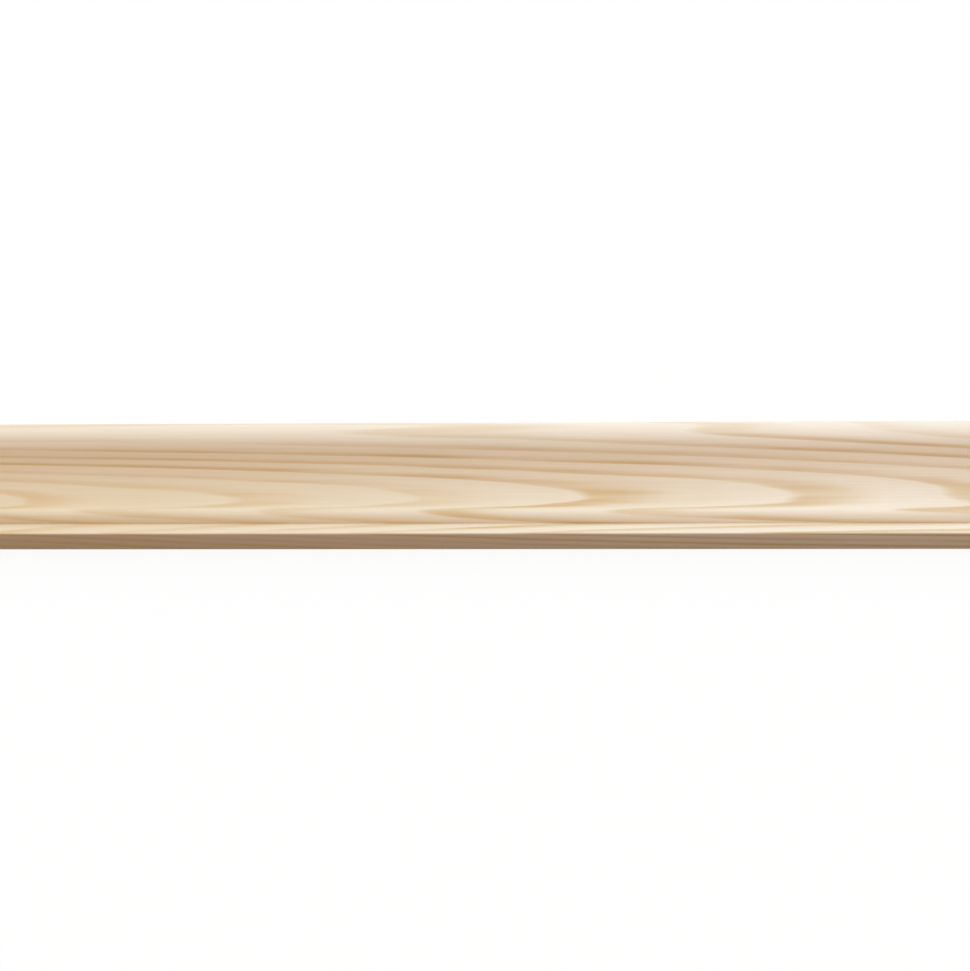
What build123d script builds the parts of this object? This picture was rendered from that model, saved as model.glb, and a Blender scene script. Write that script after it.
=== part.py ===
"""Decorative pine moulding strip, lying on its flat back with the moulded face up.

One length of planed softwood with the same section from end to end. Read across the face from the
thin front edge to the thick rear edge, the section is: a square front edge, a fillet that falls
inwards to a quirk, a small bead, a broad cove, a steep straight flank and a large round nose, cut
off by the square rear edge just past its crown. The back is flat and both ends are sawn square.

Frame: X along the strip, Y across it from the thin edge to the thick one, Z up from the back.
The origin is at the middle of the back. All sizes are in millimetres.
"""

import os
from math import cos, radians, sin, sqrt, tan

from build123d import *

# Overall sizes of the strip
length = 1000.0
face_width = 35.0
nose_thickness = 13.0
edge_thickness = 7.0

# Nose, its crown measured in from the rear edge, and the straight flank that falls from it
nose_radius = 6.2
crown_inset = 2.8
flank_slope = 57.0

# Cove: the wood left under its lowest line
cove_floor = 3.4

# Bead: its crown is measured in from the front edge, its height from the back
bead_radius = 2.6
bead_inset = 8.1
bead_height = 6.4

# Quirk between the bead and the fillet, measured down from the crown of the bead
quirk_depth = 2.0

# Planed arrises: the two that edge the moulded face, and the two along the back
face_arris_radius = 0.4
back_arris_radius = 0.3

# Centres of the nose and the bead, in the section's own axes: (across from the front edge, up)
nose_centre = Vector(face_width - crown_inset, nose_thickness - nose_radius)
bead_centre = Vector(bead_inset, bead_height - bead_radius)

# The flank leaves the nose where the nose faces this way
flank_normal = Vector(-sin(radians(flank_slope)), cos(radians(flank_slope)))
flank_top = nose_centre + flank_normal * nose_radius
crown = Vector(nose_centre.X, nose_thickness)
rear_arris = Vector(face_width, nose_centre.Y + sqrt(nose_radius**2 - crown_inset**2))


def cove_circle():
    """Centre and radius of the cove: it touches the level of its floor, the flank and the bead.

    With the radius r, the centre lies at the height cove_floor + r, and at the distance across
    reach - r * tan(flank_slope / 2) from the bead's centre, which keeps it tangent to the flank.
    Tangency to the bead makes the distance between the two centres r + bead_radius, and that is
    a quadratic in r, whose smaller root is the cove.
    """
    half_turn = tan(radians(flank_slope / 2))
    reach = flank_top.X + (cove_floor - flank_top.Y) / tan(radians(flank_slope)) - bead_centre.X
    drop = cove_floor - bead_centre.Y
    second = half_turn**2
    first = 2 * (drop - bead_radius - reach * half_turn)
    constant = reach**2 + drop**2 - bead_radius**2
    radius = (-first - sqrt(first**2 - 4 * second * constant)) / (2 * second)
    centre = Vector(bead_centre.X + reach - radius * half_turn, cove_floor + radius)
    return centre, radius


cove_centre, cove_radius = cove_circle()
flank_foot = cove_centre - flank_normal * cove_radius
to_bead = (bead_centre - cove_centre).normalized()
cove_end = cove_centre + to_bead * cove_radius
bead_top = bead_centre + Vector(0, bead_radius)
quirk_across = sqrt(bead_radius**2 - (bead_radius - quirk_depth) ** 2)
quirk = Vector(bead_centre.X - quirk_across, bead_height - quirk_depth)

# Moulding strip: the section is drawn upright at the middle of the strip and runs both ways
section_plane = Plane(origin=(0, -face_width / 2, 0), x_dir=(0, 1, 0), z_dir=(1, 0, 0))
with BuildPart() as moulding_strip:
    with BuildSketch(section_plane) as section:
        with BuildLine():
            Line((0, 0), (face_width, 0))
            Line((face_width, 0), rear_arris)
            ThreePointArc(rear_arris, crown, flank_top)
            Line(flank_top, flank_foot)
            ThreePointArc(flank_foot, (cove_centre.X, cove_floor), cove_end)
            ThreePointArc(cove_end, bead_top, quirk)
            Line(quirk, (0, edge_thickness))
            Line((0, edge_thickness), (0, 0))
        make_face()
        edge_corners = section.vertices().group_by(Axis.X)
        face_arrises = [side.sort_by(Axis.Y)[-1] for side in (edge_corners[0], edge_corners[-1])]
        fillet(face_arrises, face_arris_radius)
        fillet(section.vertices().group_by(Axis.Y)[0], back_arris_radius)
    extrude(amount=length / 2, both=True)

moulding_strip.part.label = "moulding_strip"
os.makedirs("parts", exist_ok=True)
export_step(moulding_strip.part, "parts/moulding_strip.step")
print("cove radius", round(cove_radius, 2), "volume in cm3", round(moulding_strip.part.volume / 1000, 2))
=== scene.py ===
"""Decorative pine moulding strip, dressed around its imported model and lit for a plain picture."""

from math import acos, asin, atan, atan2, cos, hypot, pi, radians, sin, sqrt, tan

import bmesh
import bpy
from mathutils import Matrix, Vector


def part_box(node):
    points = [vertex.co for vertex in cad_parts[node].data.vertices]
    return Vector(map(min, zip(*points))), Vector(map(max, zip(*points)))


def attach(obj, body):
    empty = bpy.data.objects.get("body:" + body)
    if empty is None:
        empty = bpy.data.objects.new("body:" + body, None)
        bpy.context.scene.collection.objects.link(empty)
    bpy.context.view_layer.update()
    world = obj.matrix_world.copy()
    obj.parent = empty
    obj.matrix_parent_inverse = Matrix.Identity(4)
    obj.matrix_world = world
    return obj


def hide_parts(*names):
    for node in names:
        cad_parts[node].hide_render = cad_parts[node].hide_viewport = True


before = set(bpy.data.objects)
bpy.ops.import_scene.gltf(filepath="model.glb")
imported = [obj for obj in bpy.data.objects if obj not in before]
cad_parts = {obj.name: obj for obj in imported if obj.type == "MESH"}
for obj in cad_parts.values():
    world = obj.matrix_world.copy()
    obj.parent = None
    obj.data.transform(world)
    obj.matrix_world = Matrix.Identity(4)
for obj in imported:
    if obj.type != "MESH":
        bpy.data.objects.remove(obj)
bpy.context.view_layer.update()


# Camera
# The picture is taken from the strip's thin edge, looking down at the moulded face. The strip runs
# out of the picture on both sides, and its right-hand part is a little nearer than its left.
MM = 0.001
photo_width, photo_height = 970, 971
seen_length = 266.7 * MM
camera_elevation = radians(50.0)
camera_swing = radians(3.3)
camera_roll = radians(-0.12)
camera_reach = (0.01, 50.0)
lens_mm = 85.0
sensor_mm = 36.0

# The point that the camera looks at, over the strip's middle line
aim = Vector((0.0, 2.32 * MM, 3.34 * MM))

half_angle = atan(sensor_mm / 2 / lens_mm)
pixels_across = max(photo_width, photo_height)
camera_distance = seen_length / 2 * pixels_across / photo_width / tan(half_angle)
camera_turn = (
    Matrix.Rotation(pi / 2 - camera_elevation, 4, "X")
    @ Matrix.Rotation(camera_swing, 4, "Y")
    @ Matrix.Rotation(camera_roll, 4, "Z")
)
stand_back = Matrix.Translation((0, 0, camera_distance))
camera_data = bpy.data.cameras.new("camera")
camera_data.lens = lens_mm
camera_data.sensor_width = sensor_mm
camera_data.clip_start, camera_data.clip_end = camera_reach
camera = bpy.data.objects.new("camera", camera_data)
camera.matrix_world = Matrix.Translation(aim) @ camera_turn @ stand_back
bpy.context.scene.collection.objects.link(camera)
bpy.context.scene.camera = camera


# Floor and light
# The floor shows white but throws back little light, as in the photo, where the thin edge stays
# dark. One soft box, so large that its light comes from all round, stands above and behind the
# strip. It is a little cool and the room a little warm, so the flank and the thin edge are browner.
def linear(hex_colour):
    """Turns an sRGB hex colour into the linear one that a shader takes."""
    parts = [int(hex_colour[i : i + 2], 16) / 255 for i in (1, 3, 5)]
    parts = [c / 12.92 if c <= 0.04045 else ((c + 0.055) / 1.055) ** 2.4 for c in parts]
    return (*parts, 1.0)


def add_node(tree, kind, inputs=(), **settings):
    """Adds a node to a tree with its settings, and fills its inputs.

    The inputs are a tuple in the order of the sockets, or a dict by name or number. Each is a
    value, another node's output, or another node, which stands for its first output.
    """
    new = tree.nodes.new(kind)
    for name, value in settings.items():
        setattr(new, name, value)
    for key, value in inputs.items() if isinstance(inputs, dict) else enumerate(inputs):
        if isinstance(value, bpy.types.Node):
            value = value.outputs[0]
        if isinstance(value, bpy.types.NodeSocket):
            tree.links.new(value, new.inputs[key])
        else:
            new.inputs[key].default_value = value
    return new


def new_material(name):
    """A material with an empty node tree, and that tree."""
    material = bpy.data.materials.new(name)
    material.use_nodes = True
    material.node_tree.nodes.clear()
    return material, material.node_tree


def looking_rays(tree):
    """Nodes that give 1 for a ray that looks, directly, by reflection or through glass, else 0."""
    ray = add_node(tree, "ShaderNodeLightPath")
    looking = ray.outputs["Is Camera Ray"]
    for kind in ("Is Glossy Ray", "Is Transmission Ray"):
        looking = add_node(
            tree, "ShaderNodeMath", (looking, ray.outputs[kind]), operation="MAXIMUM"
        )
    return looking


floor_size = 40.0
paper_bounce = "#605454"
plain_white = "#FFFFFF"
shadow_share = 0.1

bpy.ops.object.select_all(action="DESELECT")
bpy.ops.mesh.primitive_plane_add(size=floor_size)
floor = bpy.context.active_object
floor.name = "floor"

# Rays that look at the floor find plain white, with a small share of shaded paper that keeps the
# strip's shadow. All other rays find a darker paper, so that little light comes back from it.
paper, tree = new_material("white_paper")
lit_paper = add_node(tree, "ShaderNodeBsdfDiffuse", {"Color": linear(paper_bounce)})
shaded_paper = add_node(tree, "ShaderNodeBsdfDiffuse", {"Color": linear(plain_white)})
blank_paper = add_node(tree, "ShaderNodeEmission", {"Color": linear(plain_white)})
shown_paper = add_node(tree, "ShaderNodeMixShader", (shadow_share, blank_paper, shaded_paper))
paper_mix = add_node(tree, "ShaderNodeMixShader", (looking_rays(tree), lit_paper, shown_paper))
add_node(tree, "ShaderNodeOutputMaterial", {"Surface": paper_mix})
floor.data.materials.append(paper)

# The box faces the strip. Its power goes with its size, so that its radiance stays as named.
box_distance = 1.5
box_tilt = radians(37.0)
box_span = radians(104.0)
box_length = 5.0
box_radiance = 1.05
box_colour = "#CEEBFF"
box_width = 2 * box_distance * tan(box_span / 2)
box_data = bpy.data.lights.new("soft_box", "AREA")
box_data.shape = "RECTANGLE"
box_data.size = box_length
box_data.size_y = box_width
box_data.color = linear(box_colour)[:3]
box_data.energy = box_radiance * pi * box_length * box_width
soft_box = bpy.data.objects.new("soft_box", box_data)
soft_box.location = Vector((0, sin(box_tilt), cos(box_tilt))) * box_distance
soft_box.rotation_euler = (-box_tilt, 0, 0)
bpy.context.scene.collection.objects.link(soft_box)

room_level = 0.65
room_colour = "#FFDFC6"
sky = bpy.data.worlds.new("studio")
sky.use_nodes = True
tree = sky.node_tree
tree.nodes.clear()
sky_shown = add_node(tree, "ShaderNodeBackground", {"Color": linear(plain_white)})
room_light = add_node(
    tree, "ShaderNodeBackground", {"Color": linear(room_colour), "Strength": room_level}
)
sky_mix = add_node(tree, "ShaderNodeMixShader", (looking_rays(tree), room_light, sky_shown))
add_node(tree, "ShaderNodeOutputWorld", {"Surface": sky_mix})
bpy.context.scene.world = sky
bpy.context.scene.view_settings.view_transform = "Standard"


# Moulding strip
# One length of softwood, run through a moulder whose cutters leave the same section from end to
# end: a square thin edge, a fillet down to a quirk, a bead, a cove, a flank and a large nose. The
# back is planed flat, and both ends are sawn square.
strip_low, strip_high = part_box("moulding_strip")
front, back_edge = strip_low.y, strip_high.y
left, right = strip_low.x, strip_high.x
top = strip_high.z
edge_height = 7.0 * MM
nose_radius = 6.2 * MM
crown_inset = 2.8 * MM
flank_slope = radians(57.0)
cove_floor = 3.4 * MM
bead_radius = 2.6 * MM
bead_inset = 8.1 * MM
bead_height = 6.4 * MM
quirk_depth = 2.0 * MM
face_arris_radius = 0.4 * MM
back_arris_radius = 0.3 * MM

# How many steps each arc is drawn in, how sharp an edge still looks smooth, and how close two
# places are that count as one
nose_steps, cove_steps, bead_steps = 44, 60, 48
front_arris_steps, other_arris_steps = 8, 6
smooth_below = radians(35.0)
near = 0.01 * MM

nose_y, nose_z = back_edge - crown_inset, top - nose_radius
bead_y, bead_z = front + bead_inset, bead_height - bead_radius
flank_top_y = nose_y - nose_radius * sin(flank_slope)
flank_top_z = nose_z + nose_radius * cos(flank_slope)
rear_height = nose_z + sqrt(nose_radius**2 - crown_inset**2)

# The cove rests on its floor's level and touches the flank and the bead, as a quadratic says
half_turn = tan(flank_slope / 2)
reach = flank_top_y + (cove_floor - flank_top_z) / tan(flank_slope) - bead_y
drop = cove_floor - bead_z
first = 2 * (drop - bead_radius - reach * half_turn)
constant = reach**2 + drop**2 - bead_radius**2
cove_radius = (-first - sqrt(first**2 - 4 * half_turn**2 * constant)) / (2 * half_turn**2)
cove_y, cove_z = bead_y + reach - cove_radius * half_turn, cove_floor + cove_radius
bead_side = atan2(cove_z - bead_z, cove_y - bead_y)
quirk_side = pi - asin((bead_radius - quirk_depth) / bead_radius)
quirk_y = bead_y + bead_radius * cos(quirk_side)
quirk_z = bead_z + bead_radius * sin(quirk_side)


def draw_line(to_y, to_z):
    """Draws a straight stretch of the section, from its last point."""
    section = bmesh.from_edit_mesh(strip.data)
    last = next(point for point in section.verts if point.select)
    step = (0, to_y - last.co.y, to_z - last.co.z)
    bpy.ops.mesh.extrude_region_move(TRANSFORM_OT_translate={"value": step})


def draw_arc(centre_y, centre_z, turn, steps):
    """Draws an arc by spinning the section's last point, anticlockwise seen from the right end."""
    centre = (left, centre_y, centre_z)
    bpy.ops.mesh.spin(steps=steps, angle=turn, center=centre, axis=(-1, 0, 0))


def select_edges_along(spots):
    """Selects the long edges that run through the given (y, z) corners of the section."""
    bpy.ops.mesh.select_all(action="DESELECT")
    bpy.ops.mesh.select_mode(type="EDGE")
    solid = bmesh.from_edit_mesh(strip.data)
    for edge in solid.edges:
        here, ahead = (point.co for point in edge.verts)
        runs_along = abs(here.x - ahead.x) > (right - left) / 2
        edge.select = runs_along and any(hypot(here.y - y, here.z - z) < near for y, z in spots)
    solid.select_flush_mode()


bpy.ops.object.select_all(action="DESELECT")
bpy.ops.mesh.primitive_plane_add(size=MM)
strip = bpy.context.active_object
strip.name = "moulding_strip_pine"
strip.data.name = "moulding_strip_pine"
bpy.ops.object.mode_set(mode="EDIT")
bpy.ops.mesh.merge(type="CENTER")
bpy.ops.transform.translate(value=(left, back_edge, 0))

# The section is drawn at the left end, from the rear edge over the moulded face to the thin edge
draw_line(back_edge, rear_height)
draw_arc(nose_y, nose_z, asin(crown_inset / nose_radius) + flank_slope, nose_steps)
draw_line(cove_y + cove_radius * sin(flank_slope), cove_z - cove_radius * cos(flank_slope))
draw_arc(cove_y, cove_z, bead_side - pi / 2 - flank_slope, cove_steps)
draw_arc(bead_y, bead_z, quirk_side - bead_side, bead_steps)
draw_line(front, edge_height)
draw_line(front, 0)
bpy.ops.mesh.select_all(action="SELECT")
bpy.ops.mesh.edge_face_add()

# It is run to the right end, and its arrises are eased. Where two faces meet at an angle, an arc
# starts as far from their corner as its radius divided by the tangent of half that angle.
bpy.ops.mesh.extrude_region_move(TRANSFORM_OT_translate={"value": (right - left, 0, 0)})
fillet_angle = pi / 2 - atan2(edge_height - quirk_z, quirk_y - front)
rear_angle = pi - acos(crown_inset / nose_radius)
arrises = (
    ([(front, edge_height)], fillet_angle, face_arris_radius, front_arris_steps),
    ([(back_edge, rear_height)], rear_angle, face_arris_radius, other_arris_steps),
    ([(front, 0), (back_edge, 0)], pi / 2, back_arris_radius, other_arris_steps),
)
for spots, angle, radius, steps in arrises:
    select_edges_along(spots)
    bpy.ops.mesh.bevel(offset=radius / tan(angle / 2), segments=steps)

# Cuts across give the long faces a sensible shape, and let the finish be laid out in rows
layout_rows = 3
cuts_in_row = 4
cut_count = layout_rows * cuts_in_row
for cut in range(1, cut_count):
    bpy.ops.mesh.select_all(action="SELECT")
    cut_place = (left + (right - left) * cut / cut_count, 0, 0)
    bpy.ops.mesh.bisect(plane_co=cut_place, plane_no=(1, 0, 0))
bpy.ops.mesh.select_all(action="SELECT")
bpy.ops.mesh.normals_make_consistent(inside=False)
bpy.ops.object.mode_set(mode="OBJECT")
bpy.ops.object.transform_apply(location=True, rotation=True, scale=True)
bpy.ops.object.shade_smooth_by_angle(angle=smooth_below)

# The finish is laid out in rows, one for each third of the strip, so that a baked picture of it is
# fine enough to show the grain. Each row unrolls the section from the rear edge's foot, and the
# sawn ends lie above the rows.
row_length = (right - left) / layout_rows
row_gap = 4 * MM
layout_side = row_length + 2 * row_gap
end_facing = 0.9
left_end = next(face for face in strip.data.polygons if face.normal.x < -end_facing)
outline = [strip.data.vertices[i].co.copy() for i in left_end.vertices]
foot = max(range(len(outline)), key=lambda i: outline[i].y - outline[i].z)
outline = outline[foot:] + outline[:foot]
if outline[1].z < near:
    outline = [outline[0]] + outline[:0:-1]
unrolled = {}
girth = 0.0
for here, ahead in zip(outline, outline[1:] + outline[:1]):
    unrolled[(round(here.y / near), round(here.z / near))] = girth
    girth += (ahead - here).length
row_height = girth + row_gap
layout = strip.data.uv_layers.new(name="OFBake")
for face in strip.data.polygons:
    row = min(int((face.center.x - left) / row_length), layout_rows - 1)
    corners = [strip.data.vertices[i].co for i in face.vertices]
    if abs(face.normal.x) > end_facing:
        shift = row_gap + (0 if face.normal.x < 0 else back_edge - front + row_gap)
        spots = [(shift + c.y - front, layout_rows * row_height + row_gap + c.z) for c in corners]
    else:
        along = [unrolled[(round(c.y / near), round(c.z / near))] for c in corners]
        if max(along) - min(along) > girth / 2:
            along = [a if a > girth / 2 else a + girth for a in along]
        shift = row_gap - left - row * row_length
        spots = [(shift + c.x, row_gap + row * row_height + a) for c, a in zip(corners, along)]
    for loop, spot in zip(face.loop_indices, spots):
        layout.data[loop].uv = (spot[0] / layout_side, spot[1] / layout_side)


# Planed pine, with no coat on it. The rings are sheets that run through the whole piece, so the
# grain is worked out from the place inside the wood: it draws long tongues where the section dips,
# and arcs on the sawn ends. Lengths in this part are in millimetres.
def pace(sizes):
    """How fast a pattern runs along, across and up, from its sizes that way."""
    return [1 / size for size in sizes]


# The numbers of a Mix node's sockets for colours: its two inputs and its output
mix_from, mix_to, mixed = 6, 7, 2

wood, tree = new_material("planed_pine")
place = add_node(tree, "ShaderNodeTexCoord")
place_mm = add_node(
    tree, "ShaderNodeVectorMath", {0: place.outputs["Object"], "Scale": 1 / MM}, operation="SCALE"
)
x, y, z = add_node(tree, "ShaderNodeSeparateXYZ", (place_mm,)).outputs

# How far a point lies above the first ring: the sheets climb along the strip and across it, are
# dished across, and twist slowly, as the stem that they grew round did
climb_along = 0.0417
climb_across = 0.3675
twist = 0.2386
twist_phase = 1.097
twist_length = 700.0
dish = 0.00905
dish_swing = 0.332
first_ring = 1.71
swing = add_node(tree, "ShaderNodeMath", (x, 2 * pi / twist_length), operation="MULTIPLY")
dish_wave = add_node(tree, "ShaderNodeMath", (swing,), operation="SINE")
swing_late = add_node(tree, "ShaderNodeMath", (swing, twist_phase), operation="ADD")
twist_wave = add_node(tree, "ShaderNodeMath", (swing_late,), operation="SINE")
slope = add_node(
    tree, "ShaderNodeMath", (twist_wave, -twist, climb_across), operation="MULTIPLY_ADD"
)
bend = add_node(
    tree, "ShaderNodeMath", (dish_wave, -dish * dish_swing, dish), operation="MULTIPLY_ADD"
)
dished = add_node(tree, "ShaderNodeMath", (y, bend, slope), operation="MULTIPLY_ADD")
climb = add_node(tree, "ShaderNodeMath", (x, climb_along, z), operation="MULTIPLY_ADD")
climb_up = add_node(tree, "ShaderNodeMath", (climb, first_ring), operation="ADD")
height = add_node(tree, "ShaderNodeMath", (y, dished, climb_up), operation="MULTIPLY_ADD")

# Places where the sheets swell or dip by themselves: a place (x, y), a height, and how far it
# reaches along and across. The last keeps the nose's crown clear of a ring that would run along it.
swells = (
    ((150.0, -2.0), 1.6, (40.0, 4.0)),
    ((118.0, -11.0), -0.8, (80.0, 4.0)),
    ((85.0, 3.0), -0.35, (40.0, 2.5)),
    ((35.0, -2.0), 0.4, (70.0, 4.0)),
    ((-115.0, -6.0), 0.8, (30.0, 8.0)),
    ((-30.0, 16.0), -2.2, (130.0, 2.2)),
)
for middle, rise, reaches in swells:
    apart = add_node(tree, "ShaderNodeVectorMath", (place_mm, (*middle, 0)), operation="SUBTRACT")
    apart = add_node(
        tree, "ShaderNodeVectorMath", (apart, (*pace(reaches), 0)), operation="MULTIPLY"
    )
    apart = add_node(tree, "ShaderNodeVectorMath", (apart, apart), operation="DOT_PRODUCT")
    falling = add_node(tree, "ShaderNodeMath", (apart.outputs["Value"], -1.0), operation="MULTIPLY")
    swell = add_node(tree, "ShaderNodeMath", (falling,), operation="EXPONENT")
    height = add_node(tree, "ShaderNodeMath", (swell, rise, height), operation="MULTIPLY_ADD")

# They also waver a little, over a hand's breadth along and a finger's across, and their edges are
# slightly ragged. Each row is a height and the sizes along, across and up.
wavers = ((0.3, (70.0, 12.0, 12.0)), (0.6, (40.0, 4.0, 4.0)))
waver_detail = 1.5
for waver, sizes in wavers:
    waver_place = add_node(
        tree, "ShaderNodeVectorMath", (place_mm, pace(sizes)), operation="MULTIPLY"
    )
    waver_noise = add_node(
        tree, "ShaderNodeTexNoise", {"Vector": waver_place, "Scale": 1.0, "Detail": waver_detail}
    )
    wavering = add_node(
        tree, "ShaderNodeMath", (waver_noise, waver, -waver / 2), operation="MULTIPLY_ADD"
    )
    height = add_node(tree, "ShaderNodeMath", (height, wavering), operation="ADD")

# Good years and poor ones follow each other, so the rings widen and narrow again
ring_width = 2.51
ring_start = 0.37
good_years = 0.157
good_years_span = 22.0
good_years_phase = -1.3
season = add_node(
    tree,
    "ShaderNodeMath",
    (height, 2 * pi / good_years_span, good_years_phase),
    operation="MULTIPLY_ADD",
)
season_wave = add_node(tree, "ShaderNodeMath", (season,), operation="SINE")
grown = add_node(
    tree, "ShaderNodeMath", (height, 1 / ring_width, ring_start), operation="MULTIPLY_ADD"
)
years = add_node(tree, "ShaderNodeMath", (season_wave, good_years, grown), operation="MULTIPLY_ADD")
part_of_year = add_node(tree, "ShaderNodeMath", (years,), operation="FRACT")
year = add_node(tree, "ShaderNodeMath", (years,), operation="FLOOR")

# Late wood is a tan band, sharp on one side and fading on the other. Its levels are given for
# parts of the year.
late_levels = (
    (0.03, 0.3),
    (0.08, 1.0),
    (0.18, 1.0),
    (0.3, 0.8),
    (0.42, 0.35),
    (0.56, 0.08),
    (0.9, 0.0),
)
late = add_node(tree, "ShaderNodeValToRGB", (part_of_year,))
ramp = late.color_ramp
ramp.interpolation = "B_SPLINE"
for end in ramp.elements:
    end.color = (0, 0, 0, 1)
for spot, level in late_levels:
    stop = ramp.elements.new(spot)
    stop.color = (level, level, level, 1)

# Each year's band is as strong as its weather made it. The seed was picked out of many for a run
# of strong and weak years that comes close to the photo's.
weather_seed = 25232.0
weather_levels = (0.3, 1.1)
seeded_year = add_node(tree, "ShaderNodeMath", (year, weather_seed), operation="ADD")
weather = add_node(tree, "ShaderNodeTexWhiteNoise", {"W": seeded_year}, noise_dimensions="1D")
strength = add_node(tree, "ShaderNodeMapRange", (weather, 0.0, 1.0, *weather_levels))

# The bands come and go along the strip. The nose was nearest the bark, where they are faintest.
fading_sizes = (45.0, 3.0, 3.0)
fading_detail = 1.0
fading_noise, fading_levels = (0.3, 0.6), (0.5, 1.1)
bark_heights, bark_levels = (13.0, 18.0), (1.0, 0.5)
fading_place = add_node(
    tree, "ShaderNodeVectorMath", (place_mm, pace(fading_sizes)), operation="MULTIPLY"
)
fading_pattern = add_node(
    tree, "ShaderNodeTexNoise", {"Vector": fading_place, "Scale": 1.0, "Detail": fading_detail}
)
fading = add_node(tree, "ShaderNodeMapRange", (fading_pattern, *fading_noise, *fading_levels))
outwards = add_node(tree, "ShaderNodeMath", (x, -climb_along, height), operation="MULTIPLY_ADD")
bark_fading = add_node(tree, "ShaderNodeMapRange", (outwards, *bark_heights, *bark_levels))
for share in (strength, fading, bark_fading):
    late = add_node(tree, "ShaderNodeMath", (late, share), operation="MULTIPLY")

# Inside a year, weeks of slower growth draw faint lines that follow the ring
week_lines = 0.16
week_sizes = (110.0, 25.0, 0.9)
week_detail = 2.0
week_place = add_node(tree, "ShaderNodeCombineXYZ", (x, y, height))
week_place = add_node(
    tree, "ShaderNodeVectorMath", (week_place, pace(week_sizes)), operation="MULTIPLY"
)
week_noise = add_node(
    tree, "ShaderNodeTexNoise", {"Vector": week_place, "Scale": 1.0, "Detail": week_detail}
)
weeks = add_node(
    tree, "ShaderNodeMath", (week_noise, week_lines * 2, -week_lines), operation="MULTIPLY_ADD"
)
late_share = add_node(tree, "ShaderNodeMath", (late, weeks), operation="ADD", use_clamp=True)

# The older wood low in the strip is yellower and darker than the young wood of the nose. The tone
# also drifts to and fro along the strip and rises across the picture. This is partly the wood's own
# tone and partly painted shade, for the light that falls off towards the left of the picture.
tone_and_shade_drift = 12.0
tone_heights = (-8.0, 20.0)
older_wood = "#E1CFAE"
younger_wood = "#F2E9D8"
late_wood = "#D6B98A"
# Painted shade: the drift along the strip darkens the tone at the left of the picture and pales it
# at the right, by way of the mix between older and younger wood.
raw_age_and_shade = add_node(
    tree, "ShaderNodeMath", (dish_wave, tone_and_shade_drift, outwards), operation="MULTIPLY_ADD"
)
age_and_shade = add_node(tree, "ShaderNodeMapRange", (raw_age_and_shade, *tone_heights))
early_tone = add_node(
    tree,
    "ShaderNodeMix",
    {0: age_and_shade, mix_from: linear(older_wood), mix_to: linear(younger_wood)},
    data_type="RGBA",
)
tone = add_node(
    tree,
    "ShaderNodeMix",
    {0: late_share, mix_from: early_tone.outputs[mixed], mix_to: linear(late_wood)},
    data_type="RGBA",
)

# Fibres: fine streaks along the strip, a few of them in each millimetre, drawn somewhat coarser so
# that they show. On the sawn ends they are seen end on, as a fine speckle.
fibre_sizes = (30.0, 0.5, 0.5)
fibre_detail, fibre_roughness = 3.0, 0.6
fibre_noise, fibre_levels = (0.3, 0.7), (0.97, 1.03)
fibre_place = add_node(
    tree, "ShaderNodeVectorMath", (place_mm, pace(fibre_sizes)), operation="MULTIPLY"
)
fibre = add_node(
    tree,
    "ShaderNodeTexNoise",
    {
        "Vector": fibre_place,
        "Scale": 1.0,
        "Detail": fibre_detail,
        "Roughness": fibre_roughness,
    },
)
fibre_tone = add_node(tree, "ShaderNodeMapRange", (fibre, *fibre_noise, *fibre_levels))
tone = add_node(
    tree, "ShaderNodeVectorMath", {0: tone.outputs[mixed], "Scale": fibre_tone}, operation="SCALE"
)

# Sawn ends: the cut opens the fibres, which take in light, so the ends are darker than the faces
sawn_tint = "#E7DFD4"
facing = add_node(tree, "ShaderNodeSeparateXYZ", (place.outputs["Normal"],))
facing_end = add_node(tree, "ShaderNodeMath", (facing,), operation="ABSOLUTE")
sawn = add_node(tree, "ShaderNodeMath", (facing_end, end_facing), operation="GREATER_THAN")
tinted = add_node(
    tree, "ShaderNodeVectorMath", (tone, linear(sawn_tint)[:3]), operation="MULTIPLY"
)
tone = add_node(
    tree, "ShaderNodeMix", {0: sawn, mix_from: tone, mix_to: tinted}, data_type="RGBA"
)

# The planed faces have a faint silky sheen. Late wood is denser, so it is slightly smoother.
early_roughness, late_roughness = 0.6, 0.5
wood_ior = 1.5
fibre_depth = 0.03
fibre_relief = 0.2
planed = add_node(
    tree, "ShaderNodeMapRange", (late_share, 0.0, 1.0, early_roughness, late_roughness)
)
roughness = add_node(tree, "ShaderNodeMath", (planed, sawn), operation="MAXIMUM")
relief = add_node(
    tree,
    "ShaderNodeBump",
    {"Strength": fibre_relief, "Distance": fibre_depth * MM, "Height": fibre},
)
surface = add_node(
    tree,
    "ShaderNodeBsdfPrincipled",
    {
        "Base Color": tone.outputs[mixed],
        "Roughness": roughness,
        "IOR": wood_ior,
        "Normal": relief,
    },
)
add_node(tree, "ShaderNodeOutputMaterial", {"Surface": surface})
strip.data.materials.clear()
strip.data.materials.append(wood)

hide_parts("moulding_strip")
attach(strip, "root")
